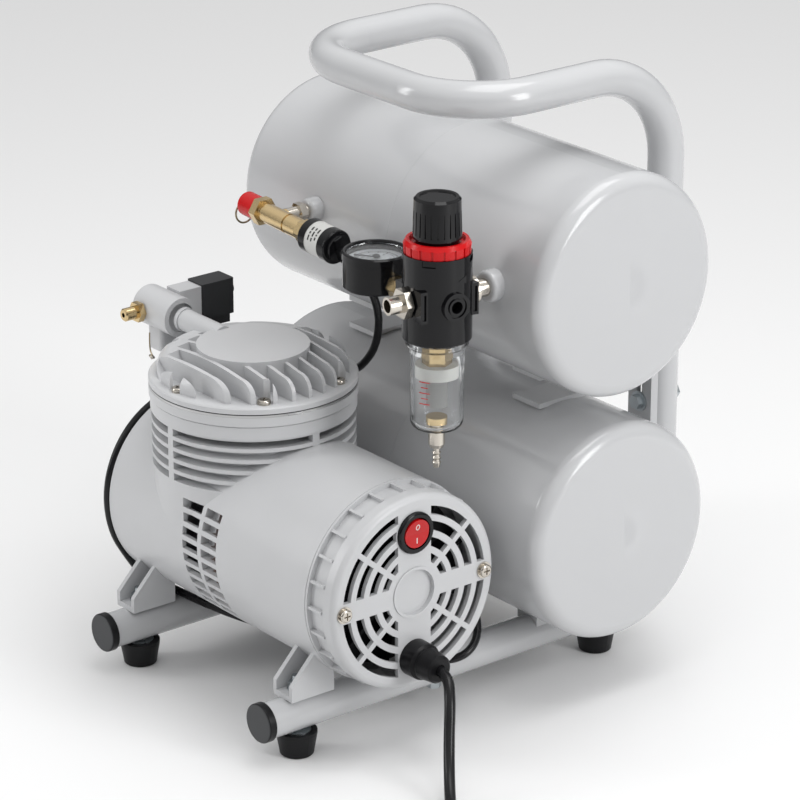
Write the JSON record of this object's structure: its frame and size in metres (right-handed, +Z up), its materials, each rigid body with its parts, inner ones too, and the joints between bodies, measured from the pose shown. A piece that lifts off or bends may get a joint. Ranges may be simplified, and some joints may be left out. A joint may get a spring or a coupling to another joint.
{
  "type": "airbrush compressor",
  "caption": "Small piston air compressor with twin horizontal tanks on a bent-tube frame with carry handle, pressure regulator, gauge and moisture trap.",
  "frame": {"origin": "on the floor, under the middle of the machine's bounding box", "axes": "+X towards the motor's fan end with the switch, -Y the motor side, +Z up"},
  "size_m": [0.4549, 0.4243, 0.3783],
  "materials": {
    "adjusting_spindle": "machined",
    "air_hose": "smooth black",
    "bearing_plate": "cast",
    "bowl_drain": "nickel plated",
    "connecting_rod": "cast",
    "cooling_fan": "moulded black",
    "cord_coil": "smooth black jacket",
    "cord_tail": "smooth black jacket",
    "crank_disc": "cast",
    "cylinder_head": "light grey satin enamel",
    "cylinder_liner": "anodised",
    "cylinder_ring": "light grey satin enamel",
    "drain_tap": "machined",
    "drain_valve": "machined",
    "fan_cover": "light grey satin enamel",
    "fan_cover_screws": "nickel plated",
    "filter_bowl": "clear polycarbonate",
    "filter_element": "brass, white plastic and sintered grey",
    "foot_screws": "zinc plated",
    "frame_bolts": "zinc plated",
    "frame_tube": "light grey gloss enamel",
    "gauge_case": "gloss black",
    "gauge_dial": "white print",
    "gauge_lens": "clear",
    "gauge_needle": "black",
    "head_gasket": "matt black",
    "head_screws": "nickel plated",
    "lock_ring": "moulded red",
    "lower_tank": "light grey gloss enamel",
    "manifold": "light grey satin enamel",
    "manifold_nipple": "machined",
    "motor_casing": "light grey satin enamel",
    "motor_shaft": "ground",
    "piston_cup": "filled seal plastic",
    "port_nipples": "nickel plated",
    "power_cord": "smooth black jacket",
    "power_plug": "moulded black",
    "pressure_lead": "smooth black jacket",
    "pressure_switch": "moulded black",
    "pull_ring": "wire",
    "rail_end_caps": "moulded black",
    "rear_brackets": "light grey gloss enamel",
    "rear_cover": "light grey satin enamel",
    "regulator_body": "gloss black",
    "regulator_knob": "moulded black",
    "rotor_core": "laminated",
    "rubber_feet": "matt black",
    "safety_valve_body": "machined",
    "safety_valve_cap": "moulded red",
    "shaft_bearings": "ground",
    "stator": "laminated steel with copper windings",
    "strain_relief": "moulded black",
    "switch_bezel": "moulded black",
    "switch_rocker": "moulded red",
    "tank_fittings": "machined",
    "tank_saddles": "light grey gloss enamel",
    "tee_fitting": "machined",
    "unloader_coil": "moulded charcoal",
    "upper_tank": "light grey gloss enamel",
    "valve_plate": "machined"
  },
  "bodies": {
    "compressor": {"air_hose": "air_hose", "bearing_plate": "bearing_plate", "cord_coil": "cord_coil", "cord_tail": "cord_tail", "cylinder_head": "cylinder_head", "cylinder_liner": "cylinder_liner", "cylinder_ring": "cylinder_ring", "drain_valve": "drain_valve", "fan_cover": "fan_cover", "fan_cover_screws": "fan_cover_screws", "filter_bowl": "filter_bowl", "filter_element": "filter_element", "foot_screws": "foot_screws", "frame_bolts": "frame_bolts", "frame_tube": "frame_tube", "gauge_case": "gauge_case", "gauge_dial": "gauge_dial", "gauge_lens": "gauge_lens", "head_gasket": "head_gasket", "head_screws": "head_screws", "lock_ring": "lock_ring", "lower_tank": "lower_tank", "manifold": "manifold", "manifold_nipple": "manifold_nipple", "motor_casing": "motor_casing", "port_nipples": "port_nipples", "power_cord": "power_cord", "power_plug": "power_plug", "pressure_lead": "pressure_lead", "pressure_switch": "pressure_switch", "rail_end_caps": "rail_end_caps", "rear_brackets": "rear_brackets", "rear_cover": "rear_cover", "regulator_body": "regulator_body", "rubber_feet": "rubber_feet", "safety_valve_body": "safety_valve_body", "shaft_bearings": "shaft_bearings", "stator": "stator", "strain_relief": "strain_relief", "switch_bezel": "switch_bezel", "tank_fittings": "tank_fittings", "tank_saddles": "tank_saddles", "tee_fitting": "tee_fitting", "unloader_coil": "unloader_coil", "upper_tank": "upper_tank", "valve_plate": "valve_plate"},
    "rotor": {"motor_shaft": "motor_shaft", "rotor_core": "rotor_core", "crank_disc": "crank_disc", "cooling_fan": "cooling_fan"},
    "piston": {"connecting_rod": "connecting_rod", "piston_cup": "piston_cup"},
    "power_switch": {"switch_rocker": "switch_rocker"},
    "spindle": {"adjusting_spindle": "adjusting_spindle"},
    "knob": {"regulator_knob": "regulator_knob"},
    "needle": {"gauge_needle": "gauge_needle"},
    "relief_cap": {"safety_valve_cap": "safety_valve_cap"},
    "relief_ring": {"pull_ring": "pull_ring"},
    "bowl_drain_stem": {"bowl_drain": "bowl_drain"},
    "tap": {"drain_tap": "drain_tap"}
  },
  "joints": [
    {"name": "rotor_spin", "type": "hinge", "parent": "compressor", "child": "rotor", "pos_m": [0, -0.0749, 0.1], "axis": [1, 0, 0], "continuous": true},
    {"name": "piston_stroke", "type": "slide", "parent": "compressor", "child": "piston", "axis": [0, 0, 1], "range_m": [-0.016, 0]},
    {"name": "switch_rock", "type": "hinge", "parent": "compressor", "child": "power_switch", "pos_m": [0.1208, -0.0749, 0.1373], "axis": [0, 1, 0], "range_deg": [-10, 0]},
    {"name": "pressure_adjust", "type": "hinge", "parent": "compressor", "child": "spindle", "pos_m": [0.0986, -0.0399, 0.3], "axis": [0, 0, 1], "range_deg": [-720, 720]},
    {"name": "knob_unlock", "type": "slide", "parent": "spindle", "child": "knob", "axis": [0, 0, 1], "range_m": [0, 0.003]},
    {"name": "needle_sweep", "type": "hinge", "parent": "compressor", "child": "needle", "pos_m": [0.03027, -0.0303, 0.2686], "axis": [0, 0, -1], "range_deg": [0, 270], "stiffness_Nm_per_rad": 0.0001},
    {"name": "relief_pull", "type": "slide", "parent": "compressor", "child": "relief_cap", "axis": [-0.9986, 0, 0.0523], "range_m": [0, 0.002], "stiffness_N_per_m": 1500},
    {"name": "ring_swing", "type": "hinge", "parent": "relief_cap", "child": "relief_ring", "pos_m": [-0.09985, -0.0299, 0.26995], "axis": [0, 1, 0], "range_deg": [0, 100]},
    {"name": "bowl_drain_push", "type": "slide", "parent": "compressor", "child": "bowl_drain_stem", "axis": [0, 0, 1], "range_m": [0, 0.002], "stiffness_N_per_m": 500},
    {"name": "drain_turn", "type": "hinge", "parent": "compressor", "child": "tap", "pos_m": [-0.01, 0.06, 0.02], "axis": [0, 1, 0], "range_deg": [0, 90]}
  ]
}
